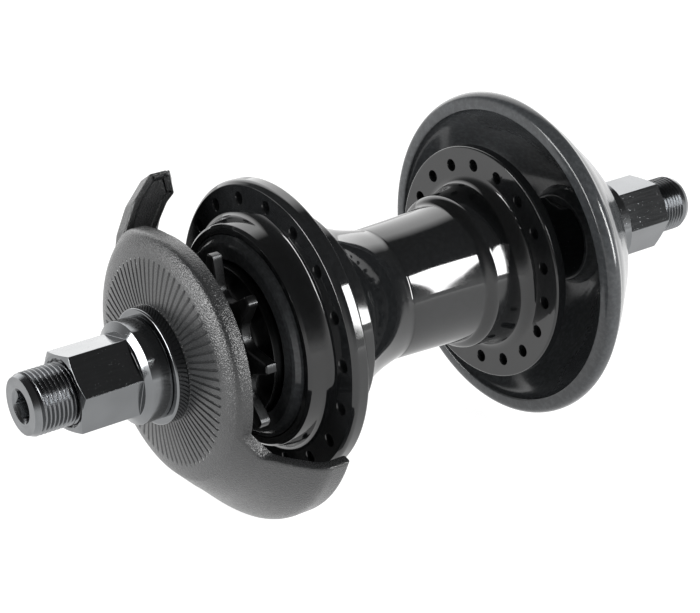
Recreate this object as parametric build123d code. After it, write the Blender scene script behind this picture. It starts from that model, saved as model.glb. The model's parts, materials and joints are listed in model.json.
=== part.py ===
from build123d import *
import math
import os

# Freecoaster rear hub for a bicycle, in millimetres.
# The axle lies along Y. The drive side faces -Y, +Z is up, +X points forwards.
# The origin is the middle of the axle.

# Axle
AXLE_HALF = 95.4
AXLE_R = 7.0
AXLE_MID_R = 7.9
AXLE_CHAMFER = 0.6
AXLE_CHAMFER_LENGTH = 1.3
THREAD_DEPTH = 0.6
THREAD_VALLEY_Y = 86.2
THREAD_VALLEY_HALF = 0.45
THREAD_ROOT_HALF = 0.15
SOCKET_AF = 6.0
SOCKET_DEPTH = 9.0
SOCKET_MOUTH_R = 3.9
DRIVE_SHOULDER_Y = -33.5
NON_DRIVE_SHOULDER_Y = 27.0

# Axle nuts and washers
NUT_AF = 17.0
NUT_OUTER_Y = 85.5
NUT_BEVEL_SLOPE = 0.36
NUT_COLLAR_Y = 70.0
NUT_CONE_Y = 71.0
NUT_SEAT_Y = 65.15
NUT_COLLAR_R = 11.65
NUT_BORE_R = 7.06
DRIVE_NUT_PHASE = 14.0
NON_DRIVE_NUT_PHASE = 3.0
WASHER_R = 13.2
WASHER_BORE_R = 7.3
WASHER_SEAT_Y = 62.15

# Cone nuts and spacers
CONE_FACE_Y = 55.0
DRIVE_CONE_INNER_Y = 49.6
NON_DRIVE_CONE_INNER_Y = 45.0
CONE_AF = 19.0
CONE_R = 10.6

# Driver bearings, 14 x 24 x 5
SMALL_INNER_R = 7.0
SMALL_OUTER_R = 12.0
SMALL_WIDTH = 5.0
SMALL_OUTER_CENTRE_Y = -45.5
SMALL_INNER_CENTRE_Y = -36.0
NECK_END_Y = -31.0
SMALL_BALLS = 12
SMALL_BALL_R = 1.25

# Large drive-side bearing, 35 x 47 x 7
LARGE_INNER_R = 17.5
LARGE_OUTER_R = 23.5
LARGE_WIDTH = 7.0
LARGE_CENTRE_Y = -35.7
LARGE_BALLS = 18
LARGE_BALL_R = 1.6

# Non-drive bearing, 14 x 28 x 7
END_INNER_R = 7.0
END_OUTER_R = 14.0
END_WIDTH = 7.0
END_CENTRE_Y = 30.5
END_BALLS = 10
END_BALL_R = 1.9

# Hub shell
HOLES = 18
HOLE_R = 1.35
DRIVE_PCD_R = 30.6
NON_DRIVE_PCD_R = 24.5
DRIVE_HOLE_PHASE = 6.0
NON_DRIVE_HOLE_PHASE = 16.0
DRIVE_FLANGE_R = 34.6
NON_DRIVE_FLANGE_R = 28.9
HOUSING_FRONT_Y = -39.75
HOUSING_R = 25.8
BORE_R = LARGE_OUTER_R
TAPER_ANGLE = 20.0
TAPER_START_Y = -25.0
TAPER_START_R = 20.3
TAPER_END_Y = -13.8

# Sprocket teeth
TEETH = 9
PITCH = 12.7
ROLLER_R = 3.95
TIP_R = 22.4
TOOTH_FRONT_Y = -48.4
TOOTH_BACK_Y = -45.5
TOOTH_PHASE = 8.0
TIP_FLAT = 2.1
NECK_START_Y = -43.1
DRIVER_BORE_R = 9.0
NOSE_R = 11.4
NOSE_END_Y = -12.0

# Clutch and drag spring
CLUTCH_TRAVEL = 2.2
CLUTCH_GAP = 0.05
CLUTCH_BORE_R = 11.5
CLUTCH_BACK_Y = -29.5
CLUTCH_FRONT_Y = -16.4
POCKET_R = 13.1
POCKET_Y = -21.0
WIRE_R = 0.6
COIL_R = 12.35
COIL_START_Y = -20.2
COIL_PITCH = 1.35
COIL_TURNS = 2.0
LEG_END_Y = -8.6
ANCHOR_START_Y = -11.0
ANCHOR_END_Y = -5.0
ANCHOR_R = 12.9

# Drive-side guard
GUARD_WALL = 2.6
GUARD_DISC_R = 28.2
GUARD_EDGE = ((112, 28.8), (124, 30.0), (136, 31.3))
GUARD_BOSS_R = 12.8
GUARD_BORE_R = 7.15
SKIRT_R = 41.6
SKIRT_END_Y = -38.5
SKIRT_LOW_POINT = (39.0, -14.8)
SKIRT_LOW_SLOPE = -11.2
SKIRT_CORNER_R = 4.5
PRONG_X = -22.4
PRONG_SLANT = ((-22.4, -43.5), (-29.3, -38.5))
SWELL_START = 98.0
SWELL_START_WAY = 188.0
SWELL_END_WAY = 216.0

# The prong's front bar, as (y, z) corners in its front plane
BAR_CORNERS = ((-56.5, 16.5), (-55.4, 22.6), (-52.75, 28.75), (-48.3, 34.2), (-44.2, 34.2), (-43.1, 33.2),
               (-42.2, 28.2), (-44.2, 26.4), (-47.1, 21.2), (-49.3, 16.5))
BAR_ROUND = 0.7
BAR_WALL_TOP = 32.4
BAR_DEPTH = 5.0
BAR_WAY = (-0.83, 0.06, -0.55)

# Non-drive guard
DISC_R = 40.5
DISC_FACE_Y = 62.15
DISC_DOME = ((13.4, 62.15), (24.0, 56.6), (33.0, 47.0), (38.2, 41.0), (39.9, 38.9))


def loop(*curves):
    """A face inside a closed run of curves."""
    edges = []
    for curve in curves:
        edges.extend(curve.edges())
    return make_face(edges)


def turned(points):
    """A solid of revolution about the axle from a closed (radius, y) profile."""
    face = make_face(Polyline([(r, y, 0) for r, y in points], close=True))
    return revolve(face, Axis.Y, 360)


def tube(inner, outer, y0, y1, edge=0.0):
    """A plain ring with broken outer and inner edges."""
    low, high = min(y0, y1), max(y0, y1)
    if edge <= 0:
        return turned([(inner, low), (outer, low), (outer, high), (inner, high)])
    c = edge
    return turned([
        (inner + c, low), (outer - c, low), (outer, low + c), (outer, high - c),
        (outer - c, high), (inner + c, high), (inner, high - c), (inner, low + c)])


def cross_plane(y):
    """A work plane square to the axle whose local x and y are world X and Z."""
    return Plane(origin=(0, y, 0), x_dir=(1, 0, 0), z_dir=(0, -1, 0))


def prism(sketch, y0, y1):
    """A sketch in the XZ plane, swept from the high y to the low y."""
    low, high = min(y0, y1), max(y0, y1)
    return extrude(cross_plane(high) * sketch, high - low)


def spun(solid, degrees):
    """The solid turned about the axle, from +X towards +Z."""
    return Rotation(0, -degrees, 0) * solid


def save(name, *solids):
    """Writes one node as its own file."""
    node = solids[0] if len(solids) == 1 else Compound(children=list(solids))
    export_step(node, f"parts/{name}.step")


def make_axle():
    """Hollow-ended axle: thicker middle, key sockets, and the first thread valley outside each nut."""
    c = AXLE_CHAMFER
    step = 0.5
    a, b = DRIVE_SHOULDER_Y, NON_DRIVE_SHOULDER_Y
    root = AXLE_R - THREAD_DEPTH
    chamfer_y = AXLE_HALF - AXLE_CHAMFER_LENGTH
    valley = THREAD_VALLEY_Y
    outer = [
        (AXLE_R, valley - THREAD_VALLEY_HALF), (root, valley - THREAD_ROOT_HALF), (root, valley + THREAD_ROOT_HALF),
        (AXLE_R, valley + THREAD_VALLEY_HALF), (AXLE_R, chamfer_y), (AXLE_R - c, AXLE_HALF), (0, AXLE_HALF)]
    middle = [
        (AXLE_R, a), (AXLE_MID_R - step, a), (AXLE_MID_R, a + step), (AXLE_MID_R, b - step),
        (AXLE_MID_R - step, b), (AXLE_R, b)]
    mirrored = [(r, -y) for r, y in reversed(outer)]
    body = turned(mirrored + middle + outer)
    for side in (-1, 1):
        end = side * AXLE_HALF
        socket = prism(RegularPolygon(SOCKET_AF / 2, 6, major_radius=False, rotation=DRIVE_NUT_PHASE),
                       end + side, end - side * SOCKET_DEPTH)
        mouth = turned([(0, end + side * 0.1), (SOCKET_MOUTH_R + 0.1, end + side * 0.1),
                        (2.6, end - side * 1.4), (0, end - side * 1.4)])
        body = body - socket - mouth
    groove = tube(AXLE_MID_R - 0.7, AXLE_MID_R + 1, ANCHOR_END_Y + 0.1, ANCHOR_END_Y + 1.2)
    return body - groove


def make_nut(side, phase):
    """A flanged axle nut: long bevelled hexagon on a round collar with a coned front."""
    outer, collar, cone, seat = (side * y for y in (NUT_OUTER_Y, NUT_COLLAR_Y, NUT_CONE_Y, NUT_SEAT_Y))
    corner_r = NUT_AF / 2 / math.cos(math.pi / 6)
    face_r = NUT_AF / 2 - 0.2
    rim_r = corner_r + 0.3
    hexagon = prism(RegularPolygon(NUT_AF / 2, 6, major_radius=False, rotation=phase), outer, collar)
    bevel = turned([(0, outer), (face_r, outer), (rim_r, outer - side * (rim_r - face_r) * NUT_BEVEL_SLOPE),
                    (rim_r, collar), (0, collar)])
    skirt = turned([(0, seat), (NUT_COLLAR_R, seat), (NUT_COLLAR_R, collar), (corner_r, cone), (0, cone)])
    body = (hexagon & bevel) + skirt
    body -= tube(0, NUT_BORE_R, seat - side, outer + side)
    for end, way in ((outer, -side), (seat, side)):
        body -= turned([(0, end), (NUT_BORE_R + 0.7, end), (NUT_BORE_R, end + way * 0.7),
                        (0, end + way * 0.7)])
    return body


def make_washer(side):
    return tube(WASHER_BORE_R, WASHER_R, side * WASHER_SEAT_Y, side * (NUT_SEAT_Y - 0.05), 0.35)


def make_cone(side, inner_y):
    """A cone nut: round, with two wrench flats next to the guard."""
    face, start = side * CONE_FACE_Y, side * inner_y
    body = turned([
        (AXLE_R + 0.02, face), (CONE_R - 0.5, face), (CONE_R, face - side * 0.5),
        (CONE_R, start + side * 0.9), (CONE_R - 0.9, start), (AXLE_R + 0.02, start)])
    for way in (-1, 1):
        flat = Pos(0, face - side * 2.0, way * (CONE_AF / 2 + 2)) * Box(30, 4.4, 4)
        body -= flat
    return body


def bearing_parts(centre, inner, outer, width, balls, ball_r):
    """Inner ring, outer ring, ball set and cage of a deep-groove bearing."""
    half = width / 2
    mid = (inner + outer) / 2
    gap = ball_r * 0.45
    groove_r = ball_r + 0.04
    torus = Pos(0, centre, 0) * Rotation(90, 0, 0) * Torus(mid, groove_r)
    inner_ring = tube(inner, mid - gap, centre - half, centre + half, 0.3) - torus
    outer_ring = tube(mid + gap, outer, centre - half, centre + half, 0.3) - torus
    cage_half = ball_r + 0.5
    cage = tube(mid - gap + 0.12, mid + gap - 0.12, centre - cage_half, centre + cage_half)
    ball_set = []
    for i in range(balls):
        angle = 360 * (i + 0.5) / balls
        ball_set.append(spun(Pos(mid, centre, 0) * Sphere(ball_r), angle))
        cage -= spun(Pos(mid, centre, 0) * Rotation(0, 90, 0) * Cylinder(ball_r + 0.07, 3 * gap), angle)
    return inner_ring, outer_ring, ball_set, cage


def taper_r(y, offset=0.0):
    """Radius of the shell's clutch taper at y, moved inwards by offset."""
    return TAPER_START_R - (y - TAPER_START_Y) * math.tan(math.radians(TAPER_ANGLE)) - offset


def make_shell():
    """Hub shell: bearing housing, two drilled flanges, horn, waist and tapered clutch seat."""
    outside = Spline([(24.5, -21.2), (21.6, -18.6), (19.1, -14.0), (17.4, -9.6), (16.1, -4.6), (15.8, -2.8)],
                     tangents=[(-1, 0.35), (-0.05, 1)])
    line = [
        Line((15.8, -2.8), (16.4, 12.0)),
        Line((16.4, 12.0), (16.9, 17.2)),
        Spline([(16.9, 17.2), (17.7, 18.2), (19.0, 19.6)], tangents=[(0.05, 1), (0.25, 1)]),
        Line((19.0, 19.6), (19.2, 28.4)),
        RadiusArc((19.2, 28.4), (20.1, 29.3), 0.9),
        Polyline((20.1, 29.3), (28.3, 29.0), (28.9, 29.6), (28.9, 31.7), (28.2, 32.4), (21.0, 32.8),
                 (18.6, 34.2), (18.6, 35.6), (END_OUTER_R, 35.6), (END_OUTER_R, 27.0),
                 (11.6, 27.0), (11.6, -4.0), (13.3, -4.0), (13.3, TAPER_END_Y),
                 (taper_r(TAPER_END_Y), TAPER_END_Y), (TAPER_START_R, TAPER_START_Y),
                 (21.0, TAPER_START_Y), (21.0, -32.2), (BORE_R, -32.2), (BORE_R, HOUSING_FRONT_Y + 0.3),
                 (BORE_R + 0.3, HOUSING_FRONT_Y), (HOUSING_R - 0.6, HOUSING_FRONT_Y),
                 (HOUSING_R, HOUSING_FRONT_Y + 0.6), (26.5, -36.6)),
        Spline([(26.5, -36.6), (27.2, -35.1), (28.6, -34.35)], tangents=[(0.2, 1), (1, 0.12)]),
        Polyline((28.6, -34.35), (33.6, -34.1), (34.4, -33.6), (34.6, -33.0), (34.6, -30.5),
                 (34.1, -30.0), (26.6, -29.7)),
        RadiusArc((26.6, -29.7), (25.6, -28.7), -1.0),
        Line((25.6, -28.7), (25.2, -21.8)),
        RadiusArc((25.2, -21.8), (24.5, -21.2), 0.8),
    ]
    body = revolve(loop(outside, *line), Axis.Y, 360)
    rows = ((DRIVE_PCD_R, DRIVE_HOLE_PHASE, -36.0, -28.0), (NON_DRIVE_PCD_R, NON_DRIVE_HOLE_PHASE, 27.0, 35.0))
    for radius, phase, y0, y1 in rows:
        for i in range(HOLES):
            angle = math.radians(phase + 360 * i / HOLES)
            spot = Location((radius * math.cos(angle), 0, radius * math.sin(angle)))
            body -= spot * tube(0, HOLE_R, y0, y1)
    return body


def tooth_space():
    """The gap between two teeth: roller seat, then flanks opening outwards."""
    pitch_r = PITCH / 2 / math.sin(math.pi / TEETH)
    half_tip = math.pi / TEETH - math.asin(TIP_FLAT / 2 / TIP_R)
    half_width = TIP_R * math.sin(half_tip)
    top = TIP_R * math.cos(half_tip)
    overshoot = 1.6
    slope = (half_width - ROLLER_R) / (top - pitch_r)
    flare = Polygon(
        (pitch_r - 0.6, -ROLLER_R + 0.05), (pitch_r + 0.6, -ROLLER_R - 0.25),
        (top, -half_width), (top + overshoot, -half_width - overshoot * slope),
        (top + overshoot, half_width + overshoot * slope), (top, half_width),
        (pitch_r + 0.6, ROLLER_R + 0.25), (pitch_r - 0.6, ROLLER_R - 0.05), align=None)
    return Pos(pitch_r, 0) * Circle(ROLLER_R) + flare


def make_driver():
    """Nine teeth, relief groove, bearing neck and screw nose in one piece."""
    root_r = PITCH / 2 / math.sin(math.pi / TEETH) - ROLLER_R
    disc = turned([(root_r - 2, TOOTH_FRONT_Y), (TIP_R - 0.6, TOOTH_FRONT_Y), (TIP_R, TOOTH_FRONT_Y + 0.5),
                   (TIP_R, TOOTH_BACK_Y - 0.5), (TIP_R - 0.6, TOOTH_BACK_Y), (root_r - 2, TOOTH_BACK_Y)])
    gap = prism(tooth_space(), TOOTH_FRONT_Y - 1, TOOTH_BACK_Y + 1)
    for i in range(TEETH):
        disc -= spun(gap, TOOTH_PHASE + 360 / TEETH * (i + 0.5))
    seat_r = SMALL_OUTER_R
    half = SMALL_WIDTH / 2
    shoulder = 10.2
    outer_back = SMALL_OUTER_CENTRE_Y + half
    inner_front = SMALL_INNER_CENTRE_Y - half
    inner_back = SMALL_INNER_CENTRE_Y + half
    edges = [
        Polyline((seat_r, -48.9), (root_r - 0.6, -48.9), (root_r - 0.3, TOOTH_FRONT_Y),
                 (root_r - 0.3, TOOTH_BACK_Y)),
        Spline([(root_r - 0.3, TOOTH_BACK_Y), (15.2, -44.2), (LARGE_INNER_R, NECK_START_Y)],
               tangents=[(0, 1), (1, 0.25)]),
        Polyline((LARGE_INNER_R, NECK_START_Y), (LARGE_INNER_R, NECK_END_Y), (NOSE_R, NECK_END_Y),
                 (NOSE_R, NOSE_END_Y - 0.5), (NOSE_R - 0.5, NOSE_END_Y), (DRIVER_BORE_R, NOSE_END_Y),
                 (DRIVER_BORE_R, inner_back + 0.6), (shoulder, inner_back), (seat_r, inner_back),
                 (seat_r, inner_front), (shoulder, inner_front), (shoulder, outer_back),
                 (seat_r, outer_back), (seat_r, -48.9)),
    ]
    body = revolve(loop(*edges), Axis.Y, 360)
    return body + disc


def make_clutch():
    """Clutch cone with its screw bore, a flange lip and the drag spring's pocket."""
    shift = CLUTCH_TRAVEL * math.tan(math.radians(TAPER_ANGLE)) + CLUTCH_GAP / math.cos(math.radians(TAPER_ANGLE))
    lip_y = -26.5
    body = turned([
        (CLUTCH_BORE_R, CLUTCH_BACK_Y), (taper_r(lip_y, shift) - 0.8, CLUTCH_BACK_Y),
        (taper_r(lip_y, shift), CLUTCH_BACK_Y + 0.8), (taper_r(lip_y, shift), lip_y),
        (taper_r(CLUTCH_FRONT_Y, shift), CLUTCH_FRONT_Y), (POCKET_R, CLUTCH_FRONT_Y),
        (POCKET_R, POCKET_Y), (CLUTCH_BORE_R, POCKET_Y)])
    # Shallow oil slots run down the cone.
    slot_y = (CLUTCH_BACK_Y + CLUTCH_FRONT_Y) / 2
    slot = Box(1.0, 20, 1.2)
    slot = Pos(taper_r(slot_y, shift), slot_y, 0) * Rotation(0, 0, TAPER_ANGLE) * slot
    for i in range(6):
        body -= spun(slot, 60 * i)
    return body


def make_spring():
    """Drag spring: two coils that grip the clutch pocket and a leg reaching the anchor."""
    height = COIL_PITCH * COIL_TURNS
    helix = Helix(COIL_PITCH, height, COIL_R, center=(0, 0, 0), direction=(0, 0, 1))
    coil_path = Pos(0, COIL_START_Y, 0) * Rotation(-90, 0, 0) * helix
    path = coil_path.edges()[0]
    wire = sweep(Plane(origin=path @ 0, z_dir=path % 0) * Circle(WIRE_R), path=Wire([path]))
    end = path @ 1
    leg_start = end.Y - WIRE_R
    leg = Pos(end.X, (leg_start + LEG_END_Y) / 2, end.Z) * Rotation(90, 0, 0)
    return wire + leg * Cylinder(WIRE_R, LEG_END_Y - leg_start)


def make_anchor():
    """Sleeve fixed on the axle, with the slot that holds the spring leg."""
    body = turned([
        (AXLE_MID_R + 0.02, ANCHOR_START_Y), (ANCHOR_R - 0.5, ANCHOR_START_Y), (ANCHOR_R, ANCHOR_START_Y + 0.5),
        (ANCHOR_R, ANCHOR_END_Y - 1.5), (ANCHOR_R - 1.5, ANCHOR_END_Y), (AXLE_MID_R + 0.02, ANCHOR_END_Y)])
    slot = Pos(COIL_R + 1.2, (ANCHOR_START_Y + ANCHOR_END_Y) / 2, 0) * Box(4.4, 8, 1.9)
    return body - slot


def make_circlip():
    ring = tube(AXLE_MID_R - 0.6, AXLE_MID_R + 1.1, ANCHOR_END_Y + 0.15, ANCHOR_END_Y + 1.1)
    return ring - Pos(0, ANCHOR_END_Y + 0.6, -AXLE_MID_R) * Box(5, 3, 4)


def guard_shell():
    """The full domed guard before it is trimmed: smooth outside, even wall."""
    outer = [(13.2, -62.15), (20.0, -61.6), (25.0, -60.7), (28.3, -59.2), (31.2, -56.2),
             (36.0, -51.2), (39.6, -47.4), (SKIRT_R, -43.2)]
    curve = Spline(outer, tangents=[(1, 0.02), (0.05, 1)])
    rim = Line((SKIRT_R, -43.2), (SKIRT_R, SKIRT_END_Y))
    inner = [(13.0, -59.0), (20.0, -58.6), (24.4, -57.9), (27.0, -56.6), (29.3, -54.3),
             (34.1, -49.4), (37.2, -46.0), (SKIRT_R - GUARD_WALL, -42.6)]
    inner_curve = Spline(inner, tangents=[(1, 0.02), (0.05, 1)])
    inside = Line((SKIRT_R - GUARD_WALL, -42.6), (SKIRT_R - GUARD_WALL, SKIRT_END_Y))
    section = loop(
        curve, rim, Line((SKIRT_R, SKIRT_END_Y), (SKIRT_R - GUARD_WALL, SKIRT_END_Y)), inside, inner_curve,
        Polyline((13.0, -59.0), (GUARD_BOSS_R, -58.8), (GUARD_BOSS_R - 1.8, -CONE_FACE_Y - 0.02),
                 (GUARD_BORE_R, -CONE_FACE_Y - 0.02), (GUARD_BORE_R, -62.15), (13.2, -62.15)))
    return revolve(section, Axis.Y, 360)


def polar(radius, degrees):
    """A point of the XZ plane."""
    return (radius * math.cos(math.radians(degrees)), radius * math.sin(math.radians(degrees)))


def guard_opening():
    """What the front of the guard leaves open: outside the disc, above the skirt's low end
    and in front of the prong."""
    far = 70.0
    slope = math.tan(math.radians(SKIRT_LOW_SLOPE))
    x0, z0 = SKIRT_LOW_POINT
    opening = Polygon((PRONG_X, 0), (0, z0 - x0 * slope), (far, z0 + (far - x0) * slope), (far, far),
                      (PRONG_X, far), align=None)
    # Towards the prong the disc's edge swells out a little.
    edge_start = polar(GUARD_DISC_R, SWELL_START)
    edge = [polar(radius, angle) for angle, radius in GUARD_EDGE]
    swell = loop(Spline([edge_start, *edge], tangents=[polar(1, SWELL_START_WAY), polar(1, SWELL_END_WAY)]),
                 Polyline(edge[-1], (0, 0), edge_start))
    opening = opening - Circle(GUARD_DISC_R) - swell
    # The inner corner is where the low edge leaves the disc.
    low_angle = SKIRT_LOW_SLOPE + math.degrees(math.asin((z0 - x0 * slope) * math.cos(math.atan(slope)) / GUARD_DISC_R))
    corner = polar(GUARD_DISC_R, low_angle)
    low_corner = opening.vertices().sort_by_distance((corner[0], corner[1], 0))[0]
    return fillet(low_corner, SKIRT_CORNER_R)


def prong_bar():
    """The thick bar along the prong's front, with a flat top and a hooked inboard side."""
    plane = Plane(origin=(PRONG_X, 0, 0), x_dir=(0, 1, 0), z_dir=(1, 0, 0))
    outline = Polygon(*BAR_CORNERS, align=None)
    tip = outline.vertices().filter_by(lambda v: v.Y > BAR_CORNERS[-2][1] + 1)
    outline = fillet(tip, BAR_ROUND)
    return extrude(plane * outline, BAR_DEPTH, dir=BAR_WAY)


def make_drive_guard():
    """Domed cover trimmed to a disc in front and left deep behind, ending in a prong with a front bar."""
    body = guard_shell() - prism(guard_opening(), -70, -30)
    # The prong's inboard corner is cut on a slant.
    (x0, y0), (x1, y1) = PRONG_SLANT
    run = ((x1 - x0) / (y1 - y0)) * 2
    slant = Polygon((x0 - run, y0 - 2), (x1 + run, y1 + 2), (x0 + 5, y1 + 2), (x0 + 5, y0 - 2), align=None)
    body -= extrude(Plane.XY * slant, 60, dir=(0, 0, 1))
    # Beside the bar the wall stops below the bar's flat top.
    body -= Pos(PRONG_X, 0, BAR_WALL_TOP + 5) * Box(10, 200, 10)
    return body + prong_bar()


def make_non_drive_guard():
    """Dished disc with a thick rolled rim and a central boss."""
    face = DISC_FACE_Y
    edge_r, edge_y = DISC_DOME[-1]
    outer = Spline(DISC_DOME, tangents=[(1, -0.1), (1, -0.9)])
    inner = Spline([(36.5, 35.6), (34.6, 38.6), (29.6, 45.6), (21.6, 53.2), (GUARD_BOSS_R, 58.6)],
                   tangents=[(-0.3, 1), (-1, 0.2)])
    section = loop(
        outer,
        RadiusArc((edge_r, edge_y), (DISC_R, 37.6), 1.5),
        RadiusArc((DISC_R, 37.6), (38.6, 35.1), 2.4),
        Line((38.6, 35.1), (37.0, 35.0)),
        RadiusArc((37.0, 35.0), (36.5, 35.6), -0.6),
        inner,
        Polyline((GUARD_BOSS_R, 58.6), (GUARD_BOSS_R - 1.8, CONE_FACE_Y + 0.02),
                 (GUARD_BORE_R, CONE_FACE_Y + 0.02), (GUARD_BORE_R, face), (13.4, face)))
    return revolve(section, Axis.Y, 360)


def main():
    os.makedirs("parts", exist_ok=True)
    save("axle", make_axle())
    save("drive_axle_nut", make_nut(-1, DRIVE_NUT_PHASE))
    save("non_drive_axle_nut", make_nut(1, NON_DRIVE_NUT_PHASE))
    save("drive_washer", make_washer(-1))
    save("non_drive_washer", make_washer(1))
    save("drive_cone_nut", make_cone(-1, DRIVE_CONE_INNER_Y))
    save("non_drive_cone_nut", make_cone(1, NON_DRIVE_CONE_INNER_Y))
    save("hub_shell", make_shell())
    save("driver", make_driver())
    save("clutch_cone", make_clutch())
    save("drag_spring", make_spring())
    save("spring_anchor", make_anchor())
    save("anchor_circlip", make_circlip())
    save("drive_guard", make_drive_guard())
    save("non_drive_guard", make_non_drive_guard())
    sets = (
        ("driver_outer", SMALL_OUTER_CENTRE_Y, SMALL_INNER_R, SMALL_OUTER_R, SMALL_WIDTH, SMALL_BALLS, SMALL_BALL_R),
        ("driver_inner", SMALL_INNER_CENTRE_Y, SMALL_INNER_R, SMALL_OUTER_R, SMALL_WIDTH, SMALL_BALLS, SMALL_BALL_R),
        ("drive_shell", LARGE_CENTRE_Y, LARGE_INNER_R, LARGE_OUTER_R, LARGE_WIDTH, LARGE_BALLS, LARGE_BALL_R),
        ("non_drive", END_CENTRE_Y, END_INNER_R, END_OUTER_R, END_WIDTH, END_BALLS, END_BALL_R),
    )
    for name, *sizes in sets:
        inner_ring, outer_ring, balls, cage = bearing_parts(*sizes)
        save(f"{name}_inner_ring", inner_ring)
        save(f"{name}_outer_ring", outer_ring)
        save(f"{name}_balls", *balls)
        save(f"{name}_cage", cage)
    # Spacers, seals and dust rings.
    save("drive_seal_spacer", tube(AXLE_R + 0.02, 9.0, -DRIVE_CONE_INNER_Y + 0.02, -48.02))
    save("driver_bearing_spacer", tube(AXLE_R + 0.02, 8.2, -42.98, -38.52))
    save("non_drive_spacer", tube(AXLE_R + 0.02, 9.2, 34.02, NON_DRIVE_CONE_INNER_Y - 0.02, 0.3))
    save("driver_dust_seal", tube(9.3, SMALL_OUTER_R - 0.05, -48.75, -48.05))
    save("drive_dust_ring", turned([
        (18.0, -39.4), (18.0, -41.0), (21.3, -41.1), (21.9, -40.9), (22.9, -39.75), (BORE_R, -39.6),
        (BORE_R, -39.25), (20.0, -39.25)]))
    save("non_drive_dust_cap", turned([
        (9.6, 34.3), (13.2, 34.3), (13.2, 34.05), (END_OUTER_R, 34.05), (END_OUTER_R, 35.4),
        (13.4, 36.2), (9.6, 35.6)]))
    save("slack_spacer", tube(NOSE_R + 0.05, 15.5, -30.98, -29.75))


main()
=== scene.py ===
import json
import math

import bmesh
import bpy
import numpy as np
from mathutils import Matrix, Vector


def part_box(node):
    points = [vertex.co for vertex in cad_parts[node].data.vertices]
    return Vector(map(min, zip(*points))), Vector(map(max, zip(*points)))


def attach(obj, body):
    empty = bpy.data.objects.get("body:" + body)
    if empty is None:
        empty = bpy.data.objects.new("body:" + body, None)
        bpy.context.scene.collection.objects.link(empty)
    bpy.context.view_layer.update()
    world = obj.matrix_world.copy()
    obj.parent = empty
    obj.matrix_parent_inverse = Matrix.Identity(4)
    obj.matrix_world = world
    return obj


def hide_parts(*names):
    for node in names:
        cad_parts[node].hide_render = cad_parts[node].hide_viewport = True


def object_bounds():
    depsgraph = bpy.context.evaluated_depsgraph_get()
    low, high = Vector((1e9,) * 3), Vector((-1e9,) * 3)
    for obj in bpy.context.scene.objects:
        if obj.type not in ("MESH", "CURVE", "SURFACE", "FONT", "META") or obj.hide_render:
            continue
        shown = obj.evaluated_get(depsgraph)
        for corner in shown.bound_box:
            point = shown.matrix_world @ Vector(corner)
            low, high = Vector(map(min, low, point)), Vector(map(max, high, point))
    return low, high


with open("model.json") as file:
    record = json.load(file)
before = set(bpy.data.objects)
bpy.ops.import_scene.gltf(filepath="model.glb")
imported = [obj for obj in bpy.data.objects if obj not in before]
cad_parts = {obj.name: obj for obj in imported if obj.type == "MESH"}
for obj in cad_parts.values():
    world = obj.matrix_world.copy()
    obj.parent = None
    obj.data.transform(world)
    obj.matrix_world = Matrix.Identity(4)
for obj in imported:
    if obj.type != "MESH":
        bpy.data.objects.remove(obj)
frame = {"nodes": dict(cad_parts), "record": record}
CAD_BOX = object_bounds()

bl_info = {
    "name": "Freecoaster hub",
    "version": (1, 0, 0),
    "blender": (4, 5, 0),
    "location": "3D View > Sidebar > Hub",
    "description": "Dresses the packed freecoaster hub: threads, guards, shell, cog and their finishes",
    "category": "Object",
}

# Lengths are in millimetres up to the point where a mesh is made, and in metres from there on.
# The axle lies along Y, the drive side faces -Y and angles run from +X towards +Z.
MM = 0.001
MERGE_DISTANCE = 0.0004 * MM
SUPPORT_GAP = 0.03
EDGE_SHARE = 0.45  # an arc or a bend takes at most this share of an edge
HEX_SIDE = math.pi / 3
HEX_HALF = math.pi / 6

# Columns round the axle.
END_COLUMNS = 96
RING_COLUMNS = 144
WASHER_COLUMNS = 160
DRIVER_COLUMNS = 192
DISH_COLUMNS = 240
SHELL_COLUMNS = 288
DRILL_SIDES = 40

AXLE_R = 7.0
AXLE_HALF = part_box("axle")[1].y / MM
THREAD_START = 56.0
DRIVE_NUT_TURN = 14.0
NON_DRIVE_NUT_TURN = 3.0
SLIDE_FIT_R = 7.02
SHELL_SHARP = 38.0
GUARD_SHARP = 40.0

# Both guards: bore, outer face and the face against the cone nut.
GUARD_BORE_R = 7.15
GUARD_FACE = 62.15
GUARD_SEAT = 55.02


def turn_point(radius, y, angle):
    """A point of the row frame, in metres, from a radius and y in millimetres."""
    return (radius * math.cos(angle) * MM, y * MM, radius * math.sin(angle) * MM)


def rounded(corners, steps=4):
    """A closed (r, y) profile from (r, y, radius) corners. A radius becomes an arc between support points."""
    profile = []
    count = len(corners)
    for i, (r, y, radius) in enumerate(corners):
        here = Vector((r, y))
        back = Vector(corners[i - 1][:2]) - here
        ahead = Vector(corners[(i + 1) % count][:2]) - here
        if radius <= 0:
            profile.append((r, y))
            continue
        half = back.angle(ahead) / 2
        cut = min(radius / math.tan(half), EDGE_SHARE * back.length, EDGE_SHARE * ahead.length)
        radius = cut * math.tan(half)
        back.normalize()
        ahead.normalize()
        centre = here + (back + ahead).normalized() * (radius / math.sin(half))
        start = here + back * cut - centre
        end = here + ahead * cut - centre
        sweep = math.atan2(start.x * end.y - start.y * end.x, start.dot(end))
        profile.append(tuple(centre + start + back * SUPPORT_GAP))
        for k in range(steps + 1):
            turned = Matrix.Rotation(sweep * k / steps, 2) @ start
            profile.append(tuple(centre + turned))
        profile.append(tuple(centre + end + ahead * SUPPORT_GAP))
    return profile


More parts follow.
